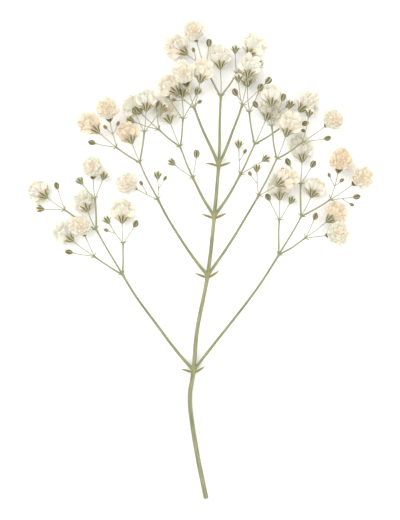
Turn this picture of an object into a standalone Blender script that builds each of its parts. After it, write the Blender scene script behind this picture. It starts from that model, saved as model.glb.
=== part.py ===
"""A gypsophila stem, cut, pressed and dried, lying on a flat surface.

The stem lies along +Y, with its cut end towards -Y, and +Z is up. The main stem forks in opposite
pairs at swollen nodes. Each spray carries cymes: an open flower at the fork, and a shoot on each
side. The sprays lie in two layers, so that they cross without touching.
"""

import math
import random
from dataclasses import dataclass

import bmesh
import bpy
import numpy as np
from mathutils import Matrix, Vector

MM = 0.001
SEED = 7

# Place of the cut end, which puts the middle of the whole stem at x = y = 0
CUT_END = (1.64 * MM, -64.68 * MM)

# Heights above the surface of the two layers that the sprays lie in
LOW_LAYER = 2.43 * MM
HIGH_LAYER = 5.7 * MM

# Middle line of the main stem from its cut end: across, along, and height above the surface
MAIN_ROUTE = (
    (0.0, 0.0, 0.36),
    (-2.6, 13.0, 0.36),
    (-4.4, 26.3, 0.9),
    (-3.4, 34.8, 1.5),
    (-2.4, 46.0, 2.2),
    (0.4, 60.5, 2.43),
    (2.2, 76.5, 2.43),
    (3.4, 90.5, 2.43),
)
# Points of that line that are nodes, from the lowest up
FORKS = {"first": 3, "second": 5, "third": 6, "top": 7}
STEPS_BETWEEN = 3

# Half thickness of each kind of stalk, at its foot and at its tip
MAIN_RADII = (0.62 * MM, 0.45 * MM)
BRANCH_RADII = (0.42 * MM, 0.32 * MM)
TWIG_RADII = (0.30 * MM, 0.25 * MM)
FLOWER_STALK_RADII = (0.24 * MM, 0.21 * MM)
NODE_SWELL = 1.5
FOOT_SWELL = 1.2

FLOWER_STALK = 6.3 * MM
# Angles in degrees: between a shoot and the one it leaves, how far each may stray, and how it arches
FORK_ANGLE = 34.0
STRAY = 5.0
TWIG_ARCH = 8.0
FLOWER_STALK_ARCH = 6.0
SMALL_BRACT_ANGLE = 62.0
MAIN_BRACT_ANGLES = (66.0, 76.0)
# Turns and stretches that a flower's stalk tries, to lie clear of its neighbours
SWINGS = (0, 8, -8, 16, -16, 24, -24, 32, -32)
STRETCHES = (1.0, 0.85, 1.18, 1.35)
# A branch's own foot is part of the main stem, out to here, and the spray goes on past a fine gap
BRANCH_FOOT = 3.0 * MM
FINE_GAP = 0.3 * MM
SMALL_BRACT = 1.8 * MM
MAIN_BRACT = 3.6 * MM
BRACT_WIDTH = 0.36
BRACT_THICKNESS = 0.6 * MM

CALYX_LENGTH = 2.0 * MM
CALYX_NOTCH = 1.0 * MM
CALYX_RADIUS = 1.05 * MM
CALYX_FLATNESS = 0.57
CALYX_SUNK = 0.1 * MM
SEPALS = 5
BUD_LENGTH = 1.9 * MM
BUD_RADIUS = 0.85 * MM
BUD_GROOVE = 0.78
BUD_FLATNESS = 0.72

FLOWER_RADIUS = 3.25 * MM
BLADE = 0.6 * MM
PETAL_WAVE = 0.08 * MM
# Height over the calyx's middle of the two rings of petals, and what they measure
OUTER_RING = 1.2 * MM
INNER_RING = 2.05 * MM
OUTER_PETALS = 7
INNER_PETALS = 5
INNER_SHARE = 0.66
# Where a flower's middle lies ahead of its calyx's mouth, as shares of its radius
OFFSETS = (0.3, 0.45, 0.6, 0.72)
# Edge of one petal in a ring: place across it, reach, and whether it dips or lifts
PETAL_EDGE = ((0.0, 0.66, -1), (0.26, 1.0, 1), (0.74, 1.0, 1))
# Edge of the three front petals, from right to left: degrees off straight ahead, and reach
FRONT_EDGE = ((50, 0.62), (26, 0.92), (20, 0.7), (10, 1.0), (-10, 1.0), (-20, 0.7), (-26, 0.92), (-50, 0.62))
FRONT_REACHES = (0.95, 0.4)
# The room that they take, as a ball about the middle of their reach
FRONT_BALL = 0.55
# The tongue of the front petals goes into the calyx, and a claw joins the rings to them
TONGUE_DEPTH = 0.5 * MM
TONGUE_HALF_WIDTH = 0.22 * MM
CLAW_RADIUS = 0.33 * MM

# Share of the youngest flowers that are open, and of all that face up where both sides are clear
OPEN_SHARE = 0.27
UP_SHARE = 0.3

# Clear space kept between things that grow from different sprays
CLEAR = 0.25 * MM

GREEN = (0.42, 0.41, 0.27)
CREAM = (0.91, 0.85, 0.70)


@dataclass
class Spray:
    """A side branch, as it leaves the main stem."""

    name: str
    fork: str
    heading: float
    lengths: tuple
    bend: float
    side_orders: tuple
    order: int
    layer: float
    twig: float


SPRAYS = (
    Spray("low_left", "first", -40, (29.0, 14.0), 8, (1,), 2, LOW_LAYER, 9.0),
    Spray("low_right", "first", 40, (35.5, 12.0), -8, (1,), 2, LOW_LAYER, 9.0),
    Spray("middle_left", "second", -37, (21.0, 11.0), 9, (0,), 2, HIGH_LAYER, 8.0),
    Spray("middle_right", "second", 36, (22.0, 11.0), -8, (0,), 2, HIGH_LAYER, 8.0),
    Spray("high_left", "third", -32, (8.5, 9.0), 8, (0,), 2, LOW_LAYER, 8.0),
    Spray("high_right", "third", 35, (10.0, 9.0), -8, (0,), 2, LOW_LAYER, 8.0),
    Spray("top_left", "top", -27, (13.0,), 8, (), 1, HIGH_LAYER, 7.0),
    Spray("top_right", "top", 25, (13.5,), -8, (), 1, HIGH_LAYER, 7.0),
    Spray("crown", "top", 1, (15.0,), 2, (), 2, LOW_LAYER, 8.0),
)


@dataclass
class Stalk:
    """A length of stem: the points of its middle line, and its half thickness at each."""

    route: np.ndarray
    radii: np.ndarray

    def beads(self, step=0.5 * MM):
        """Points and half thicknesses close together along the stalk, as rows of four."""
        rows = []
        for near, far, radius in zip(self.route, self.route[1:], self.radii):
            count = max(1, int(np.linalg.norm(far - near) / step))
            rows += [(*(near + (far - near) * k / count), radius) for k in range(count)]
        rows.append((*self.route[-1], self.radii[-1]))
        return np.array(rows)


@dataclass
class Flower:
    """A flower or bud: where its stalk springs from, and how it opens."""

    spray: Spray
    root: np.ndarray
    heading: float
    rank: int
    stalk: Stalk = None
    face: int = 0
    front: float = 0.0
    radius: float = 0.0
    offset: float = 0.0
    turn: float = 0.0

    def mouth(self):
        """The point where the petals leave the calyx."""
        return self.stalk.route[-1] + ahead(self.heading) * CALYX_LENGTH


def ahead(heading):
    """The unit step along a heading, in degrees clockwise from +Y."""
    angle = math.radians(heading)
    return np.array((math.sin(angle), math.cos(angle), 0.0))


def eased_route(start, heading, length, bend, level, count):
    """Points of a stalk that turns evenly by bend and eases up or down to its layer."""
    points = [np.array(start, float)]
    for k in range(1, count):
        share = k / (count - 1)
        middle = (k - 0.5) / (count - 1)
        here = points[-1] + ahead(heading + bend * middle) * length / (count - 1)
        here[2] = start[2] + (level - start[2]) * share * share * (3 - 2 * share)
        points.append(here)
    return np.array(points)


def smooth_route(points, steps):
    """A Catmull-Rom curve through the points."""
    padded = np.vstack([2 * points[0] - points[1], points, 2 * points[-1] - points[-2]])
    curve = []
    for k in range(1, len(padded) - 2):
        a, b, c, d = padded[k - 1 : k + 3]
        for t in np.arange(steps) / steps:
            bow = (2 * a - 5 * b + 4 * c - d) * t * t + (3 * b - a - 3 * c + d) * t ** 3
            curve.append(0.5 * (2 * b + (c - a) * t + bow))
    curve.append(points[-1])
    return np.array(curve)


def shortfall(beads, point, radius):
    """How far a ball at the point reaches into the beads, summed over them."""
    gaps = np.linalg.norm(beads[:, :3] - point, axis=1) - beads[:, 3] - radius - CLEAR
    return float(np.clip(-gaps, 0, None).sum())


class Growth:
    """Where every stalk, bract, flower and bud of the stem goes."""

    def __init__(self, seed):
        self.draw = random.Random(seed)
        self.stalks = {"main_stem": []}
        self.bracts = {"main_stem": []}
        self.flowers = []
        self.grow_main()
        for spray in SPRAYS:
            self.grow_spray(spray)
        grown = [*self.stalks.values(), *self.bracts.values()]
        self.beads = np.vstack([stalk.beads() for group in grown for stalk in group])
        for flower in self.flowers:
            self.place(flower)
        self.discs = []
        for flower in sorted(self.flowers, key=lambda each: -each.rank):
            self.open(flower)

    def grow_main(self):
        """The main stem, swollen at its nodes, with a pair of bracts at each."""
        points = np.array(MAIN_ROUTE) * MM
        points[:, :2] += CUT_END
        self.forks = {name: points[index] for name, index in FORKS.items()}
        route = smooth_route(points, STEPS_BETWEEN)
        radii = np.linspace(*MAIN_RADII, len(route))
        for index in FORKS.values():
            radii[index * STEPS_BETWEEN] *= NODE_SWELL
        self.stalks["main_stem"].append(Stalk(route, radii))
        for spray in SPRAYS:
            fork = self.forks[spray.fork]
            foot = np.array((fork, fork + ahead(spray.heading) * BRANCH_FOOT))
            self.stalks["main_stem"].append(Stalk(foot, np.array((FOOT_SWELL, 1.0)) * BRANCH_RADII[0]))
        for fork in self.forks.values():
            foot = fork - ahead(0) * MAIN_RADII[0]
            for side in (-1, 1):
                self.add_bract("main_stem", foot, side * self.draw.uniform(*MAIN_BRACT_ANGLES), MAIN_BRACT)

    def add_bract(self, group, foot, heading, length):
        """A small pointed leaf at a node."""
        route = np.array((foot, foot + ahead(heading) * length))
        self.bracts[group].append(Stalk(route, np.array((0.5, 0.1)) * BRACT_THICKNESS))

    def add_stalk(self, spray, start, heading, length, bend, radii, count):
        """A stalk of the spray, and where and how it ends."""
        route = eased_route(start, heading, length, bend, spray.layer, count)
        self.stalks[spray.name].append(Stalk(route, np.linspace(*radii, count)))
        return route[-1], heading + bend

    def grow_spray(self, spray):
        """A branch with a pair of shoots at each node along it, and a cyme at its end."""
        self.stalks[spray.name] = []
        self.bracts[spray.name] = []
        tip = self.forks[spray.fork] + ahead(spray.heading) * (BRANCH_FOOT + FINE_GAP)
        heading = spray.heading
        radii = BRANCH_RADII
        bend = spray.bend
        for k, length in enumerate(spray.lengths):
            tip, heading = self.add_stalk(spray, tip, heading, length * MM, bend, radii, 6 - 2 * k)
            radii = TWIG_RADII
            bend = 0.4 * spray.bend
            if k < len(spray.side_orders):
                self.add_pair(spray, tip, heading, spray.side_orders[k])
        self.add_cyme(spray, tip, heading, spray.order)

    def add_cyme(self, spray, start, heading, order):
        """A flower at a node, with a shoot on each side of it."""
        self.flowers.append(Flower(spray, start, heading + self.draw.uniform(-STRAY, STRAY), order))
        self.add_pair(spray, start, heading, order - 1)

    def add_pair(self, spray, start, heading, order):
        """Two opposite shoots and their bracts: flower stalks at order 0, twigs with cymes above it."""
        for side in (-1, 1):
            self.add_bract(spray.name, start, heading + side * SMALL_BRACT_ANGLE, SMALL_BRACT)
            onward = heading + side * (FORK_ANGLE + self.draw.uniform(-STRAY, STRAY))
            if order == 0:
                self.flowers.append(Flower(spray, start, onward, 0))
            else:
                length = spray.twig * MM * self.draw.uniform(0.9, 1.12)
                tip, end = self.add_stalk(spray, start, onward, length, -TWIG_ARCH * side, TWIG_RADII, 3)
                self.add_cyme(spray, tip, end, order)

    def place(self, flower):
        """The flower's stalk, turned and lengthened until its head lies clear."""
        bend = -FLOWER_STALK_ARCH * math.copysign(1, flower.heading)
        length = FLOWER_STALK * self.draw.uniform(0.85, 1.2)
        trials = []
        for swing in SWINGS:
            for stretch in STRETCHES:
                heading = flower.heading + swing
                route = eased_route(flower.root, heading, length * stretch, bend, flower.spray.layer, 3)
                head = route[-1] + ahead(heading + bend) * 0.5 * CALYX_LENGTH
                cost = 2 * shortfall(self.beads, head, CALYX_RADIUS)
                cost += sum(shortfall(self.beads, point, FLOWER_STALK_RADII[0]) for point in route[1:])
                strain = 0.002 * abs(swing) + 0.05 * abs(stretch - 1)
                trials.append((cost / MM + strain, len(trials), route, heading))
        _, _, route, heading = min(trials, key=lambda trial: trial[:2])
        flower.stalk = Stalk(route, np.linspace(*FLOWER_STALK_RADII, len(route)))
        flower.heading = heading + bend
        head = Stalk(np.array((route[-1], flower.mouth())), np.array((0.8, 1.0)) * CALYX_RADIUS)
        self.beads = np.vstack([self.beads, flower.stalk.beads()[3:], head.beads()])

    def open(self, flower):
        """The flower opens to the side where its petals lie clear, or stays a bud."""
        wants = flower.rank > 0 or self.draw.random() < OPEN_SHARE
        flower.offset = self.draw.choice(OFFSETS)
        flower.turn = self.draw.uniform(0, 360)
        radius = FLOWER_RADIUS * self.draw.uniform(0.92, 1.1)
        first = 1 if self.draw.random() < UP_SHARE else -1
        for size in (radius, 0.9 * radius):
            front = self.front_reach(flower, size)
            for face in (first, -first):
                if wants and front and flower.face == 0 and self.lies_clear(flower, size, face):
                    flower.face = face
                    flower.radius = size
                    flower.front = front
        if flower.face != 0:
            centre = flower.mouth() + ahead(flower.heading) * flower.offset * flower.radius
            self.discs.append((*centre, flower.radius, flower.face))
            middle = flower.mouth() + ahead(flower.heading) * 0.5 * flower.front
            self.beads = np.vstack([self.beads, (*middle, FRONT_BALL * flower.front)])

    def front_reach(self, flower, radius):
        """How far the front petals can reach from the calyx's mouth, or zero."""
        head = 0.5 * (flower.mouth() + flower.stalk.route[-1])
        others = self.beads[np.linalg.norm(self.beads[:, :3] - head, axis=1) > 0.55 * CALYX_LENGTH]
        for share in FRONT_REACHES:
            middle = flower.mouth() + ahead(flower.heading) * 0.5 * share * radius
            if shortfall(others, middle, FRONT_BALL * share * radius) == 0:
                return share * radius
        return 0.0

    def lies_clear(self, flower, radius, face):
        """True where a disc of petals of that size, on that side of the calyx, meets nothing."""
        centre = flower.mouth() + ahead(flower.heading) * flower.offset * radius
        low, high = sorted(centre[2] + face * depth for depth in petal_depths())
        for x, y, z, other, side in self.discs:
            floor, roof = sorted(z + side * depth for depth in petal_depths())
            apart = math.hypot(centre[0] - x, centre[1] - y) - other - radius
            if floor < high and roof > low and apart < CLEAR:
                return False
        across = np.hypot(self.beads[:, 0] - centre[0], self.beads[:, 1] - centre[1])
        beside = across > radius + self.beads[:, 3] + CLEAR
        height = np.minimum(self.beads[:, 3], CALYX_RADIUS * CALYX_FLATNESS)
        over = (self.beads[:, 2] - height > high) | (self.beads[:, 2] + height < low)
        return bool((beside | over).all())


def petal_depths():
    """How far over the calyx's middle the petals begin and end."""
    return OUTER_RING - 0.5 * BLADE - PETAL_WAVE, INNER_RING + 0.5 * BLADE + PETAL_WAVE


def finish(name, colour, roughness):
    """A plain finish of one colour."""
    made = bpy.data.materials.new(name)
    made.use_nodes = True
    shader = made.node_tree.nodes["Principled BSDF"]
    shader.inputs["Base Color"].default_value = (*colour, 1.0)
    shader.inputs["Roughness"].default_value = roughness
    shader.inputs["Metallic"].default_value = 0.0
    return made


def settled(thing):
    """The thing as a plain mesh object, with its modifiers applied."""
    graph = bpy.context.evaluated_depsgraph_get()
    mesh = bpy.data.meshes.new_from_object(thing.evaluated_get(graph))
    solid = bpy.data.objects.new(thing.name, mesh)
    solid.matrix_world = thing.matrix_world
    bpy.data.objects.remove(thing)
    bpy.context.scene.collection.objects.link(solid)
    return solid


def tube(stalk, resolution=0):
    """A round stem along a stalk's middle line."""
    thick = float(max(stalk.radii))
    curve = bpy.data.curves.new("stalk", "CURVE")
    curve.dimensions = "3D"
    curve.twist_mode = "Z_UP"
    curve.bevel_depth = thick
    curve.bevel_resolution = resolution
    curve.use_fill_caps = True
    line = curve.splines.new("POLY")
    line.points.add(len(stalk.route) - 1)
    for point, place, radius in zip(line.points, stalk.route, stalk.radii):
        point.co = (*place, 1.0)
        point.radius = radius / thick
    thing = bpy.data.objects.new("stalk", curve)
    bpy.context.scene.collection.objects.link(thing)
    bpy.context.view_layer.update()
    solid = settled(thing)
    shape = bmesh.new()
    shape.from_mesh(solid.data)
    bmesh.ops.remove_doubles(shape, verts=shape.verts, dist=0.001 * MM)
    shape.to_mesh(solid.data)
    shape.free()
    return solid


def meshed(name, shape, matrix=Matrix()):
    """A mesh object of a bmesh shape, put in its place."""
    bmesh.ops.transform(shape, matrix=matrix, verts=shape.verts)
    mesh = bpy.data.meshes.new(name)
    shape.to_mesh(mesh)
    shape.free()
    thing = bpy.data.objects.new(name, mesh)
    bpy.context.scene.collection.objects.link(thing)
    return thing


def head_place(flower):
    """The flower's own axes: its stalk's tip, +Y ahead, and +Z to the side that it faces."""
    turn = Matrix.Rotation(-math.radians(flower.heading), 4, "Z")
    if flower.face < 0:
        turn = turn @ Matrix.Rotation(math.pi, 4, "Y")
    return Matrix.Translation(Vector(flower.stalk.route[-1])) @ turn


def upright():
    """The turn that lays a primitive's +Z along +Y."""
    return Matrix.Rotation(-math.pi / 2, 4, "X")


def sepal_at(vert):
    """True where a point of the calyx lies on the middle of a sepal, and not between two."""
    return round(math.degrees(math.atan2(vert.co.x, vert.co.z)) / (180 / SEPALS)) % 2 == 0


def calyx(flower):
    """A bell of sepals that are free in their upper half, round a hollow mouth."""
    shape = bmesh.new()
    along = Matrix.Translation((0, 0.5 * CALYX_NOTCH - CALYX_SUNK, 0)) @ upright()
    made = bmesh.ops.create_cone(
        shape,
        cap_ends=True,
        segments=2 * SEPALS,
        radius1=0.5 * CALYX_RADIUS,
        radius2=CALYX_RADIUS,
        depth=CALYX_NOTCH,
        matrix=along,
    )
    rim = [vert for vert in made["verts"] if vert.co.y > 0.5 * CALYX_NOTCH]
    mouth = [face for face in shape.faces if all(vert in rim for vert in face.verts)]
    throat = bmesh.ops.poke(shape, faces=mouth)["verts"][0]
    throat.co.y = 0.5 * CALYX_NOTCH
    for vert in rim:
        if sepal_at(vert):
            vert.co.y = CALYX_LENGTH - CALYX_SUNK
    bmesh.ops.scale(shape, vec=(1, 1, CALYX_FLATNESS), verts=shape.verts)
    bmesh.ops.triangulate(shape, faces=shape.faces)
    return meshed("calyx", shape, head_place(flower))


def bud(flower):
    """A closed bud, with a ridge for each sepal."""
    shape = bmesh.new()
    bmesh.ops.create_uvsphere(shape, u_segments=2 * SEPALS, v_segments=3, radius=1, matrix=upright())
    for vert in shape.verts:
        ridge = 1.0 if sepal_at(vert) else BUD_GROOVE
        swell = BUD_RADIUS * ridge * (1.15 - 0.3 * vert.co.y)
        along = 0.5 * BUD_LENGTH * (1 + vert.co.y) - CALYX_SUNK
        vert.co = (vert.co.x * swell, along, vert.co.z * swell * BUD_FLATNESS)
    bmesh.ops.triangulate(shape, faces=shape.faces)
    return meshed("bud", shape, head_place(flower))


def bract(leaf):
    """A narrow leaf that ends in a point."""
    foot, tip = leaf.route
    length = float(np.linalg.norm(tip - foot))
    shape = bmesh.new()
    along = Matrix.Translation((0, 0.5 * length, 0)) @ upright()
    wide = 0.5 * BRACT_WIDTH * length
    bmesh.ops.create_cone(shape, cap_ends=True, segments=4, radius1=wide, radius2=0, depth=length, matrix=along)
    bmesh.ops.scale(shape, vec=(1, 1, 0.5 * BRACT_THICKNESS / wide), verts=shape.verts)
    bmesh.ops.triangulate(shape, faces=shape.faces)
    heading = math.atan2(tip[0] - foot[0], tip[1] - foot[1])
    place = Matrix.Translation(Vector(foot)) @ Matrix.Rotation(-heading, 4, "Z")
    return meshed("bract", shape, place)


def blade(outline, centre):
    """Petals as a fan of triangles from a centre point, given their thickness."""
    shape = bmesh.new()
    hub = shape.verts.new(centre)
    rim = [shape.verts.new(point) for point in outline]
    for here, after in zip(rim, rim[1:] + rim[:1]):
        shape.faces.new((hub, here, after))
    thing = meshed("petals", shape)
    thick = thing.modifiers.new("thickness", "SOLIDIFY")
    thick.thickness = BLADE
    thick.offset = 0
    bpy.context.view_layer.update()
    return settled(thing)


def petal_ring(draw, petals, radius, middle, height, turn):
    """A ring of blunt petals, notched between them and lifted along their middles."""
    outline = []
    for k in range(petals):
        reach = radius * draw.uniform(0.9, 1.0)
        for share, out, lift in PETAL_EDGE:
            angle = turn + 2 * math.pi * (k + share) / petals
            far = reach * out
            rise = height + PETAL_WAVE * lift
            outline.append((far * math.sin(-angle), middle + far * math.cos(angle), rise))
    return blade(outline, (0, middle, height))


def front_petals(reach):
    """Three petals that fan out ahead from a tongue in the calyx's mouth."""
    start = CALYX_LENGTH - TONGUE_DEPTH
    outline = [(TONGUE_HALF_WIDTH, start, 0)]
    for degrees, out in FRONT_EDGE:
        angle = math.radians(degrees)
        outline.append((reach * out * math.sin(angle), CALYX_LENGTH + reach * out * math.cos(angle), 0))
    outline.append((-TONGUE_HALF_WIDTH, start, 0))
    return blade(outline, (0, CALYX_LENGTH + 0.1 * MM, 0))


def claw(middle, radius):
    """The post that holds the petals together, just ahead of the sepals' tips."""
    shape = bmesh.new()
    ahead_of_tips = CALYX_LENGTH + CLAW_RADIUS + 0.2 * MM
    place = Matrix.Translation((0, max(ahead_of_tips, middle - 0.3 * radius), 0.5 * INNER_RING))
    bmesh.ops.create_cone(
        shape,
        cap_ends=True,
        segments=3,
        radius1=CLAW_RADIUS,
        radius2=CLAW_RADIUS,
        depth=INNER_RING,
        matrix=place,
    )
    return meshed("claw", shape)


def corolla(flower, draw):
    """The petals of one open flower: two rings, the front petals and the claw that joins them."""
    middle = CALYX_LENGTH + flower.offset * flower.radius
    turn = math.radians(flower.turn)
    outer = petal_ring(draw, OUTER_PETALS, flower.radius, middle, OUTER_RING, turn)
    inner = petal_ring(draw, INNER_PETALS, INNER_SHARE * flower.radius, middle, INNER_RING, turn + 0.4)
    pieces = [outer, inner, claw(middle, flower.radius), front_petals(flower.front)]
    for piece in pieces:
        piece.data.transform(head_place(flower))
    return pieces


def fuse(name, pieces, made_of, home):
    """One body of pieces that are sunk into each other."""
    body = pieces[0]
    body.name = name
    group = bpy.data.collections.new(name + "_pieces")
    bpy.context.scene.collection.children.link(group)
    for piece in pieces[1:]:
        bpy.context.scene.collection.objects.unlink(piece)
        group.objects.link(piece)
    union = body.modifiers.new("union", "BOOLEAN")
    union.operation = "UNION"
    union.operand_type = "COLLECTION"
    union.collection = group
    union.solver = "MANIFOLD"
    bpy.context.view_layer.update()
    whole = settled(body)
    whole.name = name
    for piece in list(group.objects):
        bpy.data.objects.remove(piece)
    bpy.data.collections.remove(group)
    bpy.context.scene.collection.objects.unlink(whole)
    home.objects.link(whole)
    whole.data.materials.clear()
    whole.data.materials.append(made_of)
    whole.data.shade_smooth()
    whole.data.set_sharp_from_angle(angle=math.radians(50))
    return whole


def press_flat(stem):
    """Flatten what lies below the surface, as the press leaves it."""
    for vert in stem.data.vertices:
        vert.co.z = max(vert.co.z, 0.0)


def main():
    """Build the main stem, the sprays and the open flowers."""
    for thing in list(bpy.data.objects):
        bpy.data.objects.remove(thing)
    home = bpy.data.collections.new("gypsophila_stem")
    bpy.context.scene.collection.children.link(home)
    green = finish("dried_stem", GREEN, 0.7)
    cream = finish("dried_petals", CREAM, 0.8)
    growth = Growth(SEED)

    trunk, *feet = growth.stalks["main_stem"]
    trunk = tube(trunk, 2)
    press_flat(trunk)
    pieces = [trunk] + [tube(foot, 1) for foot in feet] + [bract(leaf) for leaf in growth.bracts["main_stem"]]
    fuse("main_stem", pieces, green, home)

    for spray in SPRAYS:
        branch, *twigs = growth.stalks[spray.name]
        pieces = [tube(branch, 1)] + [tube(twig) for twig in twigs]
        pieces += [bract(leaf) for leaf in growth.bracts[spray.name]]
        for flower in growth.flowers:
            if flower.spray is spray:
                pieces.append(tube(flower.stalk))
                pieces.append(calyx(flower) if flower.face else bud(flower))
        fuse("spray_" + spray.name, pieces, green, home)

    opened = [flower for flower in growth.flowers if flower.face]
    for number, flower in enumerate(opened, start=1):
        pieces = corolla(flower, random.Random(SEED + number))
        fuse(f"bloom_{number:02d}", pieces, cream, home)


main()
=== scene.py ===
"""Looks of a gypsophila stem that was cut, pressed and dried, lying on a pale surface.

The stem's plan is grown by the same rules and draws as its solids, so that every fine piece lies
where the solid that it stands for lies. Lengths are in metres and headings in degrees.
"""

import logging
import math
import random
from collections import defaultdict
from dataclasses import dataclass, field
from enum import Enum, IntEnum
from functools import cached_property
from itertools import product
from typing import Any

import bpy
import numpy as np
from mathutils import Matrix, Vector


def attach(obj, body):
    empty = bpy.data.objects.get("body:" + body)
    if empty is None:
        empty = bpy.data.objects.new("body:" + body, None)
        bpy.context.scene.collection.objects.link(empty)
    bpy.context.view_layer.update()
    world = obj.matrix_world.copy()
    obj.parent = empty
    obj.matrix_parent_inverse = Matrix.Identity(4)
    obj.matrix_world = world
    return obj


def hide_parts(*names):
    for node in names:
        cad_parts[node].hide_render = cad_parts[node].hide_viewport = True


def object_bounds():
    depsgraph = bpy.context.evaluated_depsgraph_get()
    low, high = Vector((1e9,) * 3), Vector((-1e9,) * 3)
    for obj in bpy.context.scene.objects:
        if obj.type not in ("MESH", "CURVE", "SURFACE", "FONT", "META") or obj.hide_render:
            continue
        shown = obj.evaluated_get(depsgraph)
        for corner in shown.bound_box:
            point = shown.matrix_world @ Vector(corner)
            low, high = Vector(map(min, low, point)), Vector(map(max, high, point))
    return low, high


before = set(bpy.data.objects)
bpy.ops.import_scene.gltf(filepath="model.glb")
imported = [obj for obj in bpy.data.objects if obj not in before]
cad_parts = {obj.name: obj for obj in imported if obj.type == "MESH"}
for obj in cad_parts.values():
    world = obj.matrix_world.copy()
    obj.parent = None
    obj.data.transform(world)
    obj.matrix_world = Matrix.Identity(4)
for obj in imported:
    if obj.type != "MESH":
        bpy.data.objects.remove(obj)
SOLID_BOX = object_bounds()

Points = np.ndarray
Node = bpy.types.Node

log = logging.getLogger("gypsophila")

MM = 0.001
SEED = 7
BODY = "root"
STEM_SLOT = "dried_stem"
PETAL_SLOT = "dried_petals"

# Driving dimensions of the growth, as the solids have them
CUT_END = (1.64 * MM, -64.68 * MM)
LOW_LAYER = 2.43 * MM
HIGH_LAYER = 5.7 * MM
MAIN_ROUTE = (
    (0.0, 0.0, 0.36),
    (-2.6, 13.0, 0.36),
    (-4.4, 26.3, 0.9),
    (-3.4, 34.8, 1.5),
    (-2.4, 46.0, 2.2),
    (0.4, 60.5, 2.43),
    (2.2, 76.5, 2.43),
    (3.4, 90.5, 2.43),
)
FORKS = {"first": 3, "second": 5, "third": 6, "top": 7}
STEPS_BETWEEN = 3
MAIN_RADII = (0.62 * MM, 0.45 * MM)
BRANCH_RADII = (0.42 * MM, 0.32 * MM)
TWIG_RADII = (0.30 * MM, 0.25 * MM)
FLOWER_STALK_RADII = (0.24 * MM, 0.21 * MM)
NODE_SWELL = 1.5
FOOT_SWELL = 1.2
FLOWER_STALK = 6.3 * MM
FORK_ANGLE = 34.0
STRAY = 5.0
TWIG_ARCH = 8.0
FLOWER_STALK_ARCH = 6.0
SMALL_BRACT_ANGLE = 62.0
MAIN_BRACT_ANGLES = (66.0, 76.0)
# The turns and stretches that a flower stalk tries, and what each degree and share of them costs it
SWINGS = (0, 8, -8, 16, -16, 24, -24, 32, -32)
STRETCHES = (1.0, 0.85, 1.18, 1.35)
SWING_COST = 0.002
STRETCH_COST = 0.05
# Points on each length of a branch, and the share of its bend that it keeps past its first node
BRANCH_POINTS = (6, 4)
ONWARD_BEND = 0.4
BRANCH_FOOT = 3.0 * MM
FINE_GAP = 0.3 * MM
SMALL_BRACT = 1.8 * MM
MAIN_BRACT = 3.6 * MM
BRACT_THICKNESS = 0.6 * MM
BRACT_TAPER = (0.5, 0.1)
# Ranges that draws give, as shares of what they size
FLOWER_STALK_RANGE = (0.85, 1.2)
TWIG_RANGE = (0.9, 1.12)
FLOWER_RANGE = (0.92, 1.1)
# Where a flower of the drawn radius has no room, this share of it is tried
SECOND_SIZE = 0.9
CALYX_LENGTH = 2.0 * MM
CALYX_TAPER = (0.8, 1.0)
# Beads at the foot of a flower stalk that don't count, because they touch its node
ROOT_BEADS = 3
# Beads as near as this to a calyx's middle are its own
OWN_REACH = 0.55 * CALYX_LENGTH
CALYX_RADIUS = 1.05 * MM
CALYX_FLATNESS = 0.57
SEPALS = 5
BUD_LENGTH = 1.9 * MM
BUD_RADIUS = 0.85 * MM
BUD_FLATNESS = 0.72
FLOWER_RADIUS = 3.25 * MM
OUTER_RING = 1.2 * MM
INNER_RING = 2.05 * MM
BLADE = 0.6 * MM
PETAL_WAVE = 0.08 * MM
# How far over the calyx's middle the solids' petals begin and end
PETAL_DEPTHS = (OUTER_RING - 0.5 * BLADE - PETAL_WAVE, INNER_RING + 0.5 * BLADE + PETAL_WAVE)
OFFSETS = (0.3, 0.45, 0.6, 0.72)
FRONT_REACHES = (0.95, 0.4)
FRONT_BALL = 0.55
OPEN_SHARE = 0.27
UP_SHARE = 0.3
CLEAR = 0.25 * MM
BEAD_STEP = 0.5 * MM

# Driving dimensions of the minute side buds, which the solids leave out
SIDE_SHARE = 0.6
SIDE_ANGLE = 40.0
SIDE_STALK = 2.5 * MM
SIDE_SIZE = 0.62
SIDE_ROOM = 0.9 * MM
SIDE_RADII = (0.18 * MM, 0.16 * MM)
SIDE_RANGE = (0.8, 1.2)

# What the finishes and meshes share
PATCH_MAP = "patch"
TINT = "tint"
UPWARD = (0.0, 0.0, 1.0)
CURVE_STEPS = 8
LEAST_POINTS = 4
RIBS_ROUND = 7
SHARP_ANGLE = 60.0
BUMP_STRENGTH = 0.5
PLANT_IOR = 1.45
PAPER_IOR = 1.5
NOISE = "ShaderNodeTexNoise"
RAMP = "ShaderNodeValToRGB"
MATH = "ShaderNodeMath"
MIX = "ShaderNodeMix"
ATTRIBUTE = "ShaderNodeAttribute"
# Inputs of a mix of colours
SHARE, FIRST, SECOND = 0, 6, 7
BLENDED = {"data_type": "RGBA"}
MULTIPLIED = {"data_type": "RGBA", "blend_type": "MULTIPLY"}


class Face(IntEnum):
    """The side that a flower shows, or a bud that shows none."""

    DOWN = -1
    BUD = 0
    UP = 1


@dataclass(frozen=True)
class Spray:
    """A side branch, as it leaves the main stem."""

    name: str
    fork: str
    heading: float
    lengths: tuple[float, ...]
    bend: float
    side_orders: tuple[int, ...]
    order: int
    layer: float
    twig: float


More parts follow.
